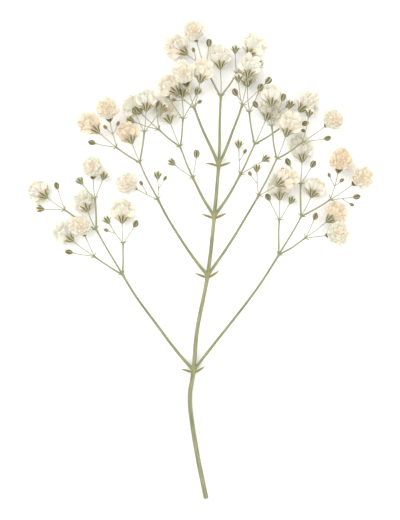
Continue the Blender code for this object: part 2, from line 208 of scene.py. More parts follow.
SPRAYS = (
    Spray("low_left", "first", -40, (29.0, 14.0), 8, (1,), 2, LOW_LAYER, 9.0),
    Spray("low_right", "first", 40, (35.5, 12.0), -8, (1,), 2, LOW_LAYER, 9.0),
    Spray("middle_left", "second", -37, (21.0, 11.0), 9, (0,), 2, HIGH_LAYER, 8.0),
    Spray("middle_right", "second", 36, (22.0, 11.0), -8, (0,), 2, HIGH_LAYER, 8.0),
    Spray("high_left", "third", -32, (8.5, 9.0), 8, (0,), 2, LOW_LAYER, 8.0),
    Spray("high_right", "third", 35, (10.0, 9.0), -8, (0,), 2, LOW_LAYER, 8.0),
    Spray("top_left", "top", -27, (13.0,), 8, (), 1, HIGH_LAYER, 7.0),
    Spray("top_right", "top", 25, (13.5,), -8, (), 1, HIGH_LAYER, 7.0),
    Spray("crown", "top", 1, (15.0,), 2, (), 2, LOW_LAYER, 8.0),
)


def ahead(heading: float) -> Points:
    """The unit step along a heading, in degrees clockwise from +Y."""
    return np.array((math.sin(math.radians(heading)), math.cos(math.radians(heading)), 0.0))


def unit(vectors: Points) -> Points:
    """Vectors of the same directions, all one long."""
    return vectors / np.maximum(np.linalg.norm(vectors, axis=-1, keepdims=True), 1e-12)


def run(route: Points) -> Points:
    """How far along a route each of its points lies."""
    return np.concatenate(([0.0], np.cumsum(np.linalg.norm(np.diff(route, axis=0), axis=1))))


def near(route: Points, point: Points, reach: float) -> Points:
    """How near each point of a route is to a point: one there, and soon zero past the reach."""
    return np.exp(-((np.linalg.norm(route - point, axis=1) / reach) ** 2))


def eased(value: Points) -> Points:
    """A value held between 0 and 1, with soft ends."""
    held = np.clip(value, 0.0, 1.0)
    return held * held * (3 - 2 * held)


def smooth_route(points: Points, steps: int) -> Points:
    """A smooth curve through points.

    Args:
        points: The points, one a row.
        steps: Pieces that each stretch between two of them is cut into.

    Returns:
        The curve's points, one a row.
    """
    padded = np.vstack([2 * points[0] - points[1], points, 2 * points[-1] - points[-2]])
    curve = []
    for k in range(1, len(padded) - 2):
        a, b, c, d = padded[k - 1 : k + 3]
        for t in np.arange(steps) / steps:
            bow = (2 * a - 5 * b + 4 * c - d) * t * t + (3 * b - a - 3 * c + d) * t ** 3
            curve.append(0.5 * (2 * b + (c - a) * t + bow))
    return np.array([*curve, points[-1]])


@dataclass
class Stalk:
    """A length of stem: the points of its middle line, and its half thickness at each."""

    route: Points
    radii: Points

    def beads(self) -> Points:
        """Points close together along the stalk.

        Returns:
            Rows of x, y, z and half thickness.
        """
        rows = []
        for start, end, radius in zip(self.route, self.route[1:], self.radii):
            count = max(1, int(np.linalg.norm(end - start) / BEAD_STEP))
            rows += [(*(start + (end - start) * k / count), radius) for k in range(count)]
        return np.array([*rows, (*self.route[-1], self.radii[-1])])

    def resampled(self, step: float) -> "Stalk":
        """The stalk as a smooth curve with even steps.

        Args:
            step: Distance between the new points.

        Returns:
            The new stalk.
        """
        curve = smooth_route(np.column_stack((self.route, self.radii)), CURVE_STEPS)
        along = run(curve[:, :3])
        places = np.linspace(0.0, along[-1], max(LEAST_POINTS, int(along[-1] / step) + 1))
        even = np.column_stack([np.interp(places, along, column) for column in curve.T])
        return Stalk(even[:, :3], even[:, 3])


def eased_stalk(
    start: Points,
    heading: float,
    length: float,
    bend: float,
    level: float,
    radii: tuple[float, float],
    count: int = 3,
) -> Stalk:
    """A stalk that turns evenly and eases up or down to its layer.

    Args:
        start: Where it springs from.
        heading: Its first heading.
        length: How long it is.
        bend: Degrees that it turns on the way.
        level: Height at its tip.
        radii: Half thickness at its foot and at its tip.
        count: Number of points on it.

    Returns:
        The stalk.
    """
    points = [np.array(start, float)]
    for k in range(1, count):
        turned = heading + bend * (k - 0.5) / (count - 1)
        here = points[-1] + ahead(turned) * length / (count - 1)
        here[2] = start[2] + (level - start[2]) * eased(k / (count - 1))
        points.append(here)
    return Stalk(np.array(points), np.linspace(*radii, count))


def bract_line(foot: Points, heading: float, length: float) -> Stalk:
    """The line of a small pointed leaf from its foot to its tip."""
    return Stalk(np.array((foot, foot + ahead(heading) * length)), np.array(BRACT_TAPER) * BRACT_THICKNESS)


def shortfall(beads: Points, point: Points, radius: float) -> float:
    """How far a ball at a point reaches into rows of x, y, z and half thickness, summed over them."""
    gaps = np.linalg.norm(beads[:, :3] - point, axis=1) - beads[:, 3] - radius - CLEAR
    return float(np.clip(-gaps, 0, None).sum())


@dataclass
class Flower:
    """A flower or bud: where its stalk springs from, and how it opens."""

    spray: Spray
    root: Points
    heading: float
    rank: int
    stalk: Stalk | None = None
    face: int = Face.BUD
    front: float = 0.0
    radius: float = 0.0
    offset: float = 0.0

    def point(self, distance: float) -> Points:
        """The point at a distance ahead of the stalk's tip."""
        return self.stalk.route[-1] + ahead(self.heading) * distance

    def placed(self, grid: Points) -> Points:
        """Points of the flower's own axes, put where it is.

        Args:
            grid: The points: +Y runs ahead from the stalk's tip, and +Z to the flower's face.

        Returns:
            The points in the frame's axes.
        """
        side = -1 if self.face < 0 else 1
        axes = (side * ahead(self.heading + 90), ahead(self.heading), (0.0, 0.0, side))
        return grid @ np.array(axes) + self.stalk.route[-1]


@dataclass
class Disc:
    """The flat round space that an open flower's petals take up."""

    centre: Points
    radius: float
    face: int

    def levels(self) -> list[float]:
        """Its lowest and its highest level."""
        return sorted(self.centre[2] + self.face * depth for depth in PETAL_DEPTHS)


class Growth:
    """Where every stalk, bract, flower and bud of the stem goes."""

    def __init__(self) -> None:
        """Grow the plan."""
        self.draw = random.Random(SEED)
        self.stalks: dict[str, list[Stalk]] = defaultdict(list)
        self.bracts: dict[str, list[Stalk]] = defaultdict(list)
        self.flowers: list[Flower] = []
        self.side_buds: list[Flower] = []
        self.discs: list[Disc] = []
        self.grow_main()
        for spray in SPRAYS:
            self.grow_spray(spray)
        groups = (*self.stalks.values(), *self.bracts.values())
        self.beads = np.vstack([stalk.beads() for group in groups for stalk in group])
        for flower in self.flowers:
            self.place(flower)
        for flower in sorted(self.flowers, key=lambda each: -each.rank):
            self.open(flower)
        for flower in self.flowers:
            self.add_side_buds(flower)

    def grow_main(self) -> None:
        """The main stem, swollen at its nodes, with branch feet and a pair of bracts at each."""
        points = np.array(MAIN_ROUTE) * MM
        points[:, :2] += CUT_END
        self.forks = {name: points[index] for name, index in FORKS.items()}
        route = smooth_route(points, STEPS_BETWEEN)
        radii = np.linspace(*MAIN_RADII, len(route))
        radii[[index * STEPS_BETWEEN for index in FORKS.values()]] *= NODE_SWELL
        stalks = self.stalks["main_stem"]
        stalks.append(Stalk(route, radii))
        for spray in SPRAYS:
            fork = self.forks[spray.fork]
            foot = np.array((fork, fork + ahead(spray.heading) * BRANCH_FOOT))
            stalks.append(Stalk(foot, np.array((FOOT_SWELL, 1.0)) * BRANCH_RADII[0]))
        for fork, side in product(self.forks.values(), (-1, 1)):
            heading = side * self.draw.uniform(*MAIN_BRACT_ANGLES)
            self.bracts["main_stem"].append(bract_line(fork - ahead(0) * MAIN_RADII[0], heading, MAIN_BRACT))

    def grow_spray(self, spray: Spray) -> None:
        """A branch with a pair of shoots at each node along it, and a cyme at its end.

        Args:
            spray: The spray to grow.
        """
        tip = self.forks[spray.fork] + ahead(spray.heading) * (BRANCH_FOOT + FINE_GAP)
        heading, bend, radii = spray.heading, spray.bend, BRANCH_RADII
        for k, length in enumerate(spray.lengths):
            stalk = eased_stalk(tip, heading, length * MM, bend, spray.layer, radii, BRANCH_POINTS[k])
            self.stalks[spray.name].append(stalk)
            tip = stalk.route[-1]
            heading += bend
            bend, radii = ONWARD_BEND * spray.bend, TWIG_RADII
            if k < len(spray.side_orders):
                self.add_pair(spray, tip, heading, spray.side_orders[k])
        self.add_cyme(spray, tip, heading, spray.order)

    def add_cyme(self, spray: Spray, start: Points, heading: float, order: int) -> None:
        """A flower at a node, with a shoot on each side of it that forks one time less than the order."""
        self.flowers.append(Flower(spray, start, heading + self.draw.uniform(-STRAY, STRAY), order))
        self.add_pair(spray, start, heading, order - 1)

    def add_pair(self, spray: Spray, start: Points, heading: float, order: int) -> None:
        """Two opposite shoots and their bracts: flower stalks at order 0, twigs with cymes above it.

        Args:
            spray: The spray.
            start: The node.
            heading: The heading of the stalk that carries them.
            order: How many times the shoots fork.
        """
        for side in (-1, 1):
            bract = bract_line(start, heading + side * SMALL_BRACT_ANGLE, SMALL_BRACT)
            self.bracts[spray.name].append(bract)
            onward = heading + side * (FORK_ANGLE + self.draw.uniform(-STRAY, STRAY))
            if order == 0:
                self.flowers.append(Flower(spray, start, onward, 0))
            else:
                length = spray.twig * MM * self.draw.uniform(*TWIG_RANGE)
                arch = -TWIG_ARCH * side
                twig = eased_stalk(start, onward, length, arch, spray.layer, TWIG_RADII)
                self.stalks[spray.name].append(twig)
                self.add_cyme(spray, twig.route[-1], onward + arch, order)

    def place(self, flower: Flower) -> None:
        """The flower's stalk, turned and lengthened until its head lies clear.

        Args:
            flower: The flower to place.
        """
        bend = -FLOWER_STALK_ARCH * math.copysign(1, flower.heading)
        length = FLOWER_STALK * self.draw.uniform(*FLOWER_STALK_RANGE)
        level = flower.spray.layer
        trials = []
        for swing, stretch in product(SWINGS, STRETCHES):
            turned = flower.heading + swing
            trial = Flower(flower.spray, flower.root, turned + bend, flower.rank)
            trial.stalk = eased_stalk(flower.root, turned, length * stretch, bend, level, FLOWER_STALK_RADII)
            cost = 2 * shortfall(self.beads, trial.point(0.5 * CALYX_LENGTH), CALYX_RADIUS)
            cost += sum(shortfall(self.beads, here, FLOWER_STALK_RADII[0]) for here in trial.stalk.route[1:])
            trials.append((cost / MM + SWING_COST * abs(swing) + STRETCH_COST * abs(stretch - 1), trial))
        _, best = min(trials, key=lambda each: each[0])
        flower.stalk, flower.heading = best.stalk, best.heading
        ends = np.array((best.point(0), best.point(CALYX_LENGTH)))
        head = Stalk(ends, np.array(CALYX_TAPER) * CALYX_RADIUS)
        self.beads = np.vstack([self.beads, flower.stalk.beads()[ROOT_BEADS:], head.beads()])

    def open(self, flower: Flower) -> None:
        """The flower opens to the side where its petals lie clear, or stays a bud.

        Args:
            flower: The flower to open.
        """
        wants = flower.rank > 0 or self.draw.random() < OPEN_SHARE
        flower.offset = self.draw.choice(OFFSETS)
        # The solids turn their petals by the next draw, so it is taken here too
        self.draw.uniform(0, 360)
        radius = FLOWER_RADIUS * self.draw.uniform(*FLOWER_RANGE)
        first = Face.UP if self.draw.random() < UP_SHARE else Face.DOWN
        for size, face in product((radius, SECOND_SIZE * radius), (first, -first)):
            disc = Disc(flower.point(CALYX_LENGTH + flower.offset * size), size, face)
            front = self.front_reach(flower, size)
            if wants and front and self.lies_clear(disc):
                flower.face, flower.radius, flower.front = face, size, front
                self.discs.append(disc)
                middle = flower.point(CALYX_LENGTH + 0.5 * front)
                self.beads = np.vstack([self.beads, (*middle, FRONT_BALL * front)])
                return

    def front_reach(self, flower: Flower, radius: float) -> float:
        """How far the front petals can reach from the calyx's mouth.

        Args:
            flower: The flower.
            radius: The radius of its petals' disc.

        Returns:
            The reach, or zero where there is no room.
        """
        head = flower.point(0.5 * CALYX_LENGTH)
        others = self.beads[np.linalg.norm(self.beads[:, :3] - head, axis=1) > OWN_REACH]
        for reach in (share * radius for share in FRONT_REACHES):
            if shortfall(others, flower.point(CALYX_LENGTH + 0.5 * reach), FRONT_BALL * reach) == 0:
                return reach
        return 0.0

    def lies_clear(self, disc: Disc) -> bool:
        """Find whether a disc of petals meets nothing.

        Args:
            disc: The disc.

        Returns:
            True where it lies clear.
        """
        low, high = disc.levels()
        for other in self.discs:
            floor, roof = other.levels()
            apart = math.dist(disc.centre[:2], other.centre[:2]) - other.radius - disc.radius
            if floor < high and roof > low and apart < CLEAR:
                return False
        x, y, z, radii = self.beads.T
        beside = np.hypot(x - disc.centre[0], y - disc.centre[1]) > disc.radius + radii + CLEAR
        height = np.minimum(radii, CALYX_RADIUS * CALYX_FLATNESS)
        return bool((beside | (z - height > high) | (z + height < low)).all())

    def add_side_buds(self, flower: Flower) -> None:
        """Minute buds, halfway up the stalk of an outer flower, where they have room.

        Args:
            flower: The flower whose stalk may carry them.
        """
        foot = flower.stalk.route[1]
        for side in (-1, 1):
            heading = flower.heading + side * (SIDE_ANGLE + self.draw.uniform(-STRAY, STRAY))
            length = SIDE_STALK * self.draw.uniform(*SIDE_RANGE)
            wants = flower.rank == 0 and self.draw.random() < SIDE_SHARE
            arch = -TWIG_ARCH * side
            stalk = eased_stalk(foot, heading, length, arch, foot[2], SIDE_RADII)
            head = stalk.route[-1] + ahead(heading) * 0.5 * SIDE_SIZE * BUD_LENGTH
            if wants and shortfall(self.beads, head, SIDE_ROOM) == 0:
                self.side_buds.append(Flower(flower.spray, foot, heading + arch, 0, stalk))
                self.beads = np.vstack([self.beads, (*head, SIDE_SIZE * BUD_RADIUS)])


def linear(colour: str | float) -> tuple[float, ...]:
    """A linear colour from an sRGB hex value, or the grey that carries a number.

    Args:
        colour: The colour, such as "#F7F0DB", or the number.

    Returns:
        Red, green, blue and an alpha of one.
    """
    if isinstance(colour, float):
        return (colour, colour, colour, 1.0)
    parts = [int(colour[k : k + 2], 16) / 255 for k in (1, 3, 5)]
    return (*(c / 12.92 if c <= 0.04045 else ((c + 0.055) / 1.055) ** 2.4 for c in parts), 1.0)


def shown(name: str, data: bpy.types.ID) -> bpy.types.Object:
    """Put an object in the scene.

    Args:
        name: The object's name.
        data: The mesh, lamp or lens that it holds.

    Returns:
        The object.
    """
    thing = bpy.data.objects.new(name, data)
    bpy.context.scene.collection.objects.link(thing)
    return thing


@dataclass
class Finish:
    """A finish, drawn as the nodes of a material."""

    name: str
    roughness: float
    relief: float
    ior: float = PLANT_IOR

    def __post_init__(self) -> None:
        """Start an empty material and lay the finish."""
        self.material = bpy.data.materials.new(self.name)
        self.material.use_nodes = True
        self.material.node_tree.nodes.clear()
        self.lay()

    def lay(self) -> None:
        """Lay the finish, as each kind does in its own way."""
        raise NotImplementedError

    def add(
        self, kind: str, inputs: dict[str | int, Any] | None = None, stops: tuple = (), **settings: Any
    ) -> Node:
        """Add a node with its settings and links.

        Args:
            kind: The node's type.
            inputs: For each input a value, a colour's hex, a socket, or a node whose first live output
                it takes.
            stops: A ramp's places, each with its colour's hex or a number.
            settings: Values of the node's own properties.

        Returns:
            The node.
        """
        tree = self.material.node_tree
        node = tree.nodes.new(kind)
        for name, value in settings.items():
            setattr(node, name, value)
        for k, (place, colour) in enumerate(stops):
            element = node.color_ramp.elements[k] if k < 2 else node.color_ramp.elements.new(place)
            element.position = place
            element.color = linear(colour)
        for name, value in (inputs or {}).items():
            if isinstance(value, Node):
                value = next(output for output in value.outputs if output.enabled)
            if isinstance(value, bpy.types.NodeSocket):
                tree.links.new(value, node.inputs[name])
            else:
                node.inputs[name].default_value = linear(value) if isinstance(value, str) else value
        return node

    @cached_property
    def patch(self) -> Node:
        """Where a point lies on its patch of mesh."""
        return self.add("ShaderNodeUVMap", uv_map=PATCH_MAP)

    def axes(self) -> bpy.types.NodeOutputs:
        """The place across a patch, X, and along it, Y, as sockets."""
        return self.add("ShaderNodeSeparateXYZ", {"Vector": self.patch}).outputs

    def grain(self, across: float, along: float, detail: float) -> Node:
        """Noise with so many repeats across a patch and along it, drawn out as plant fibre is."""
        drawn = self.add("ShaderNodeMapping", {"Vector": self.patch, "Scale": (across, along, 1.0)})
        return self.add(NOISE, {"Vector": drawn, "Scale": 1.0, "Detail": detail})

    def blotches(self, size: float, detail: float) -> Node:
        """Noise of a real size that doesn't keep to patches."""
        where = self.add("ShaderNodeTexCoord").outputs["Object"]
        return self.add(NOISE, {"Vector": where, "Scale": 1 / size, "Detail": detail})

    def cover(self, colour: Node, height: Node, depth: dict[str, Any] | None = None) -> None:
        """Lay the colour and the relief on the shader.

        Args:
            colour: Where the colour comes from.
            height: Where the relief comes from.
            depth: How light soaks in, if it does.
        """
        relief = {"Height": height, "Strength": BUMP_STRENGTH, "Distance": self.relief}
        bump = self.add("ShaderNodeBump", relief)
        gloss = {"Roughness": self.roughness, "IOR": self.ior, **(depth or {})}
        shader = self.add("ShaderNodeBsdfPrincipled", {"Base Color": colour, "Normal": bump, **gloss})
        self.add("ShaderNodeOutputMaterial", {"Surface": shader})


@dataclass
class DriedStalk(Finish):
    """Gypsophila stalk, air-dried and pressed."""

    # The eye sees matt olive straw, streaked along its fibres, tan at nodes and greyer when young
    name: str = "air_dried_stalk"
    roughness: float = 0.72
    relief: float = 0.05 * MM
    pale: str = "#A4A680"
    deep: str = "#6C7151"
    scorched: str = "#978E55"
    young: str = "#AAA992"
    girth: float = math.tau * MAIN_RADII[1]
    bundle: float = 0.24 * MM
    # Fibres are about 0.03 mm wide, and are drawn coarser to show
    fibre: float = 0.07 * MM
    fibre_length: float = 6.0 * MM
    mottle: float = 9.0 * MM

    def lay(self) -> None:
        """Lay streaked and clouded straw, greyed where it is young and tanned at nodes."""
        bundles = self.grain(self.girth / self.bundle, 1 / self.fibre_length, 3.0)
        fibres = self.grain(self.girth / self.fibre, 1 / self.fibre_length, 1.0)
        clouds = self.grain(1.5, 1 / self.mottle, 1.0)
        colour = self.add(RAMP, {"Fac": bundles}, ((0.32, self.deep), (0.66, self.pale)))
        for noise, stops in ((fibres, ((0.38, 0.84), (0.52, 1.0))), (clouds, ((0.35, 0.86), (0.65, 1.0)))):
            shade = self.add(RAMP, {"Fac": noise}, stops)
            colour = self.add(MIX, {SHARE: 1.0, FIRST: colour, SECOND: shade}, **MULTIPLIED)
        tint = self.add(ATTRIBUTE, attribute_name=TINT).outputs["Fac"]
        youth = self.add(MATH, {0: tint, 1: -1.0}, operation="MULTIPLY", use_clamp=True)
        for share, tone in ((youth, self.young), (tint, self.scorched)):
            colour = self.add(MIX, {SHARE: share, FIRST: colour, SECOND: tone}, **BLENDED)
        self.cover(colour, fibres)


@dataclass
class CutPith(Finish):
    """Stalk cut across with a blade, and dried."""

    # The eye sees a thin dark skin, a ring of straw-coloured wood, and pale spongy pith
    name: str = "cut_pith"
    roughness: float = 0.85
    relief: float = 0.06 * MM
    bark: str = "#67633F"
    wood: str = "#C9BF97"
    pith: str = "#E4DAB8"
    pore: float = 0.25 * MM

    def lay(self) -> None:
        """Lay rings of pith, wood and bark, pitted with pores."""
        rings = ((0.0, self.pith), (0.5, self.wood), (0.84, self.wood), (0.93, self.bark))
        ringed = self.add(RAMP, {"Fac": self.axes()["Y"]}, rings)
        pores = self.grain(math.tau * MAIN_RADII[0] / self.pore, MAIN_RADII[0] / self.pore, 3.0)
        pits = self.add(RAMP, {"Fac": pores}, ((0.35, 0.72), (0.6, 1.0)))
        self.cover(self.add(MIX, {SHARE: 1.0, FIRST: ringed, SECOND: pits}, **MULTIPLIED), pores)


@dataclass
class PressedSepal(Finish):
    """Sepals, pressed and dried."""

    # The eye sees a short dark dash, the rib, between papery margins that are green when young
    name: str = "pressed_sepal"
    roughness: float = 0.65
    relief: float = 0.03 * MM
    rib: str = "#5F6140"
    umber: str = "#665A3A"
    shoulder: str = "#918E60"
    margin: str = "#DEDAB8"
    width: float = 0.9 * MM
    vein: float = 0.17 * MM
    brown_patch: float = 5.0 * MM

    def lay(self) -> None:
        """Lay a rib, browned in places, between shoulders and margins that fray along the veins."""
        across, along, _ = self.axes()
        veins = self.grain(self.width / self.vein, 2.0, 3.0)
        frayed = self.add(MATH, {0: veins, 1: 0.16, 2: across}, operation="MULTIPLY_ADD")
        rib = self.add(
            RAMP, {"Fac": self.blotches(self.brown_patch, 1.0)}, ((0.45, self.rib), (0.62, self.umber))
        )
        side, edge, soft = (
            self.add(RAMP, {"Fac": frayed}, tuple(zip(places, (1.0, 0.0, 0.0, 1.0))))
            for places in ((0.2, 0.33, 0.83, 0.96), (0.12, 0.26, 0.9, 1.0), (0.08, 0.42, 0.74, 1.0))
        )
        young = self.add(MIX, {SHARE: soft, FIRST: rib, SECOND: self.shoulder}, **BLENDED)
        tint = self.add(ATTRIBUTE, attribute_name=TINT).outputs["Fac"]
        ends = self.add(RAMP, {"Fac": along}, ((0.0, 0.5), (0.25, 0.0), (0.88, 0.0), (1.0, 0.4)))
        colour = rib
        for share, tone in ((side, self.shoulder), (edge, self.margin), (tint, young), (ends, self.shoulder)):
            colour = self.add(MIX, {SHARE: share, FIRST: colour, SECOND: tone}, **BLENDED)
        self.cover(colour, veins)


@dataclass
class DriedBract(Finish):
    """Bracts, dried to a thin scale."""

    # The eye sees a dull green blade with a paler rim and a scorched point
    name: str = "dried_bract"
    roughness: float = 0.7
    relief: float = 0.04 * MM
    blade: str = "#70714E"
    rim: str = "#A6A276"
    point: str = "#6E5F3E"
    width: float = 0.72 * MM
    fibre: float = 0.09 * MM

    def lay(self) -> None:
        """Lay a blade between rims, scorched towards its point."""
        across, along, _ = self.axes()
        ribs = ((0.05, self.rim), (0.28, self.blade), (0.72, self.blade), (0.95, self.rim))
        ribbed = self.add(RAMP, {"Fac": across}, ribs)
        scorch = self.add(RAMP, {"Fac": along}, ((0.6, 0.0), (1.0, 0.85)))
        colour = self.add(MIX, {SHARE: scorch, FIRST: ribbed, SECOND: self.point}, **BLENDED)
        self.cover(colour, self.grain(self.width / self.fibre, 2.5, 3.0))


@dataclass
class PressedPetal(Finish):
    """Petals, pressed thin and dried."""

    # The eye sees cream paper that light soaks into, veined, peach at its foot and tanned with age
    name: str = "pressed_petal"
    roughness: float = 0.8
    relief: float = 0.04 * MM
    body: str = "#E9E3CB"
    foot: str = "#D3BB86"
    peach: str = "#E9CBA5"
    width: float = 1.8 * MM
    # Veins are about 0.1 mm apart, and are drawn twice as coarse to show
    vein: float = 0.2 * MM
    blotch: float = 0.8 * MM
    soak: float = 0.5 * MM

    def lay(self) -> None:
        """Lay cream over a peach foot, aged all over and in spots, with veins."""
        tones = ((0.0, self.foot), (0.2, self.peach), (0.52, self.body))
        colour = self.add(RAMP, {"Fac": self.axes()["Y"]}, tones)
        clouds = self.grain(self.width / self.blotch, 2.6, 2.0)
        blots = self.add(RAMP, {"Fac": clouds}, ((0.55, 0.0), (0.72, 1.0)))
        tint = self.add(ATTRIBUTE, attribute_name=TINT).outputs["Fac"]
        spots = self.add(MATH, {0: blots, 1: tint}, operation="MULTIPLY", use_clamp=True)
        for share, tone in ((tint, self.peach), (spots, self.foot)):
            colour = self.add(MIX, {SHARE: share, FIRST: colour, SECOND: tone}, **BLENDED)
        veins = self.grain(self.width / self.vein, 1.3, 2.0)
        lines = self.add(RAMP, {"Fac": veins}, ((0.35, 0.9), (0.6, 1.0)))
        colour = self.add(MIX, {SHARE: 1.0, FIRST: colour, SECOND: lines}, **MULTIPLIED)
        depth = {"Weight": 0.5, "Radius": (1.0, 0.85, 0.65), "Scale": self.soak}
        self.cover(colour, veins, {f"Subsurface {name}": value for name, value in depth.items()})


@dataclass
class CoatedBoard(Finish):
    """White board, coated and matt."""

    # The eye sees an even white with hardly any tooth
    name: str = "coated_board"
    roughness: float = 0.9
    relief: float = 0.01 * MM
    ior: float = PAPER_IOR
    white: str = "#FBFBF9"
    shade: str = "#F7F7F4"
    tooth: float = 1.1 * MM

    def lay(self) -> None:
        """Lay white with a fine tooth."""
        tooth = self.blotches(self.tooth, 3.0)
        self.cover(self.add(RAMP, {"Fac": tooth}, ((0.3, self.shade), (0.7, self.white))), tooth)


class Patch(Enum):
    """What a patch of surface is, and its finish."""

    STALK = DriedStalk
    SEPAL = PressedSepal
    BRACT = DriedBract
    PETAL = PressedPetal
    PITH = CutPith


Finishes = dict[Patch, bpy.types.Material]


@dataclass
class Piece:
    """A piece in the making: its names, its draws, and a mesh gathered from patches of points."""

    name: str
    node: str
    slot: str
    draw: random.Random
    points: list[Points] = field(default_factory=list)
    tints: list[Points] = field(default_factory=list)
    faces: list[list[int]] = field(default_factory=list)
    corners: list[Points] = field(default_factory=list)
    kinds: list[Patch] = field(default_factory=list)

    def add_points(self, grid: Points, tan: float | Points) -> Points:
        """Take in a grid of points.

        Args:
            grid: Rows by columns by three.
            tan: How tanned they are, as one number or one for each row.

        Returns:
            The index of each point, rows by columns.
        """
        start = sum(len(points) for points in self.points)
        self.points.append(grid.reshape(-1, 3))
        self.tints.append(np.broadcast_to(tan, grid.shape[:2]).ravel())
        return start + np.arange(len(self.points[-1])).reshape(grid.shape[:2])

    def add_strip(
        self, index: Points, across: Points, along: Points, kind: Patch, flip: bool = False
    ) -> None:
        """Take in the squares between neighbouring rows and columns.

        Args:
            index: Index of each point, rows by columns.
            across: Place across the patch of each column.
            along: Place along the patch of each row.
            kind: What the patch is.
            flip: True where the outer side is the other one.
        """
        # Each square's corners, in the order that turns its outer side out
        row = np.arange(index.shape[0] - 1)[:, None, None] + ((1, 1, 0, 0) if flip else (0, 0, 1, 1))
        column = np.arange(index.shape[1] - 1)[:, None] + (0, 1, 1, 0)
        squares = index[row, column].reshape(-1, 4)
        self.faces += squares.tolist()
        self.corners.append(np.stack(np.broadcast_arrays(across[column], along[row]), -1).reshape(-1, 2))
        self.kinds += [kind] * len(squares)

    def add_rings(self, index: Points, along: Points, kind: Patch, flip: bool = False) -> None:
        """Take in the squares of rows that close round on themselves."""
        closed = np.column_stack((index, index[:, 0]))
        self.add_strip(closed, np.linspace(0.0, 1.0, closed.shape[1]), along, kind, flip)

    def add_cap(self, ring: Points, kind: Patch, flip: bool = False) -> None:
        """Close a ring of points with one face.

        Args:
            ring: Index of each point round the ring.
            kind: What the patch is.
            flip: True where the outer side is the other one.
        """
        self.faces.append((ring[::-1] if flip else ring).tolist())
        self.corners.append(np.tile((0.5, 0.0), (len(ring), 1)))
        self.kinds.append(kind)

    def add_cut(self, ring: Points, sunk: Points) -> None:
        """Close the foot of a stalk with a cut end, whose pith is sunk inside a raised woody ring.

        Args:
            ring: Index of each point round the foot.
            sunk: How far and which way the pith is sunk.
        """
        outer = np.vstack(self.points)[ring]
        middle = outer.mean(axis=0)
        shares = np.array((1.0, 0.86, 0.7, 0.42, 0.12))
        depths = np.array((-0.15, 0.1, 0.9, 1.0))
        inner = middle + (outer - middle) * shares[1:, None, None] + sunk * depths[:, None, None]
        index = np.vstack((ring, self.add_points(inner, 0.0)))
        self.add_rings(index, shares, Patch.PITH, flip=True)
        self.add_cap(index[-1], Patch.PITH, flip=True)

    def add_tube(self, line: Stalk, sides: int, ribs: float, tan: Points, pith: float = 0.0) -> None:
        """A closed round stalk with fine ribs, pressed flat where it would reach below the board.

        Args:
            line: Its middle line and half thickness.
            sides: Number of points round it.
            ribs: Height of its ribs, as a share of its half thickness.
            tan: How tanned it is at each point of the line.
            pith: How far the pith of its cut foot is sunk, or zero where the foot is hidden.
        """
        forward = unit(np.gradient(line.route, axis=0))
        side = unit(np.cross(forward, UPWARD))
        above = np.cross(side, forward)
        angle = math.tau * np.arange(sides) / sides - 0.5 * math.pi
        reach = line.radii[:, None] * (1 + ribs * np.cos(RIBS_ROUND * angle))
        grid = line.route[:, None] + side[:, None] * (reach * np.cos(angle))[..., None]
        grid = grid + above[:, None] * (reach * np.sin(angle))[..., None]
        grid[..., 2] = np.maximum(grid[..., 2], 0.0)
        index = self.add_points(grid, tan[:, None])
        self.add_rings(index, run(line.route), Patch.STALK)
        self.add_cap(index[-1], Patch.STALK)
        if pith > 0:
            self.add_cut(index[0], pith * forward[0])
        else:
            self.add_cap(index[0], Patch.STALK, flip=True)

    def add_blade(self, grid: Points, thickness: float, tan: float, kind: Patch) -> None:
        """A thin closed blade: a sheet, its back and its rim.

        Args:
            grid: The sheet's points, rows by columns by three.
            thickness: The blade's thickness.
            tan: How tanned it is.
            kind: What it is.
        """
        normal = 0.5 * thickness * unit(np.cross(np.gradient(grid, axis=1), np.gradient(grid, axis=0)))
        along, across = (np.linspace(0.0, 1.0, count) for count in grid.shape[:2])
        face, back = (self.add_points(grid + side * normal, tan) for side in (1, -1))
        self.add_strip(face, across, along, kind)
        self.add_strip(back, across, along, kind, flip=True)
        self.add_strip(np.column_stack((back[:, 0], face[:, 0])), across[[0, 0]], along, kind)
        self.add_strip(np.column_stack((face[:, -1], back[:, -1])), across[[-1, -1]], along, kind)
        self.add_strip(np.vstack((back[0], face[0])), across, along[[0, 0]], kind)
        self.add_strip(np.vstack((face[-1], back[-1])), across, along[[-1, -1]], kind)

    def hand_over(self, finishes: Finishes) -> None:
        """Make the piece, which rides on the stem and stands for its solid.

        Args:
            finishes: A material for each kind of patch.
        """
        mesh = bpy.data.meshes.new(self.name)
        mesh.from_pydata(np.vstack(self.points).tolist(), [], self.faces)
        corners = np.concatenate(self.corners).astype(np.float32)
        mesh.uv_layers.new(name=PATCH_MAP).data.foreach_set("uv", corners.ravel())
        tints = np.concatenate(self.tints).astype(np.float32)
        mesh.attributes.new(TINT, "FLOAT", "POINT").data.foreach_set("value", tints)
        worn = [kind for kind in Patch if kind in self.kinds]
        for kind in worn:
            mesh.materials.append(finishes[kind])
        slots = [worn.index(kind) for kind in self.kinds]
        mesh.polygons.foreach_set("material_index", np.array(slots, np.int32))
        mesh.shade_smooth()
        mesh.set_sharp_from_angle(angle=math.radians(SHARP_ANGLE))
        mesh.update()
        piece = shown(self.name, mesh)
        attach(piece, BODY)
        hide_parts(self.node)
        log.info("%s: %d faces", self.name, len(mesh.polygons))


